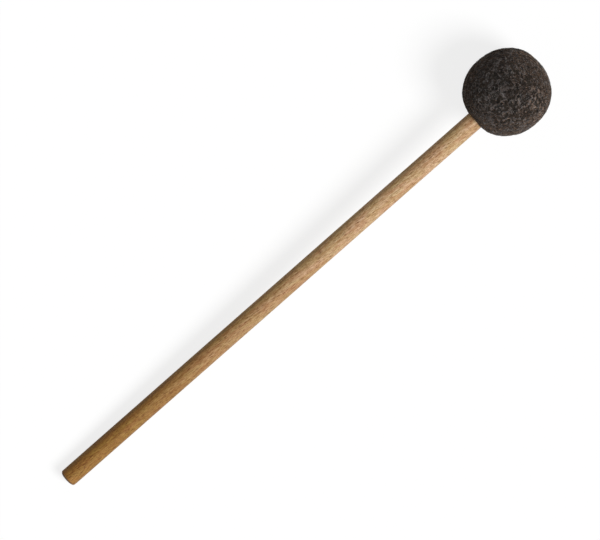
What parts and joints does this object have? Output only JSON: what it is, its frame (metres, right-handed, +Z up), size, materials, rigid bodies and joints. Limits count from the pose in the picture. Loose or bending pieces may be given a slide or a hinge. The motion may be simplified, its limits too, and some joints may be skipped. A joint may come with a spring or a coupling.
{
  "type": "keyboard percussion mallet",
  "caption": "Felt-headed mallet for bar percussion: a straight beech dowel glued into a turned wooden core under a seamless ball of marled wool felt.",
  "frame": {"origin": "on the table, under the middle of the mallet's bounding box, with the mallet lying on its ball and on the rim of its butt", "axes": "+X from the butt towards the head along the table, +Z up. The handle itself rises 3.29 degrees towards the head"},
  "size_m": [0.3362, 0.0456, 0.0457],
  "materials": {
    "beech_handle": "satin",
    "beech_core": "matte",
    "cured_wood_glue": "satin",
    "pressed_felt_underlay": "matte",
    "marled_wool_felt": "matte"
  },
  "bodies": {
    "root": {"handle": "beech_handle", "core_ball": "beech_core", "socket_glue": "cured_wood_glue", "felt_underlay": "pressed_felt_underlay", "felt_cover": "marled_wool_felt"}
  },
  "joints": []
}
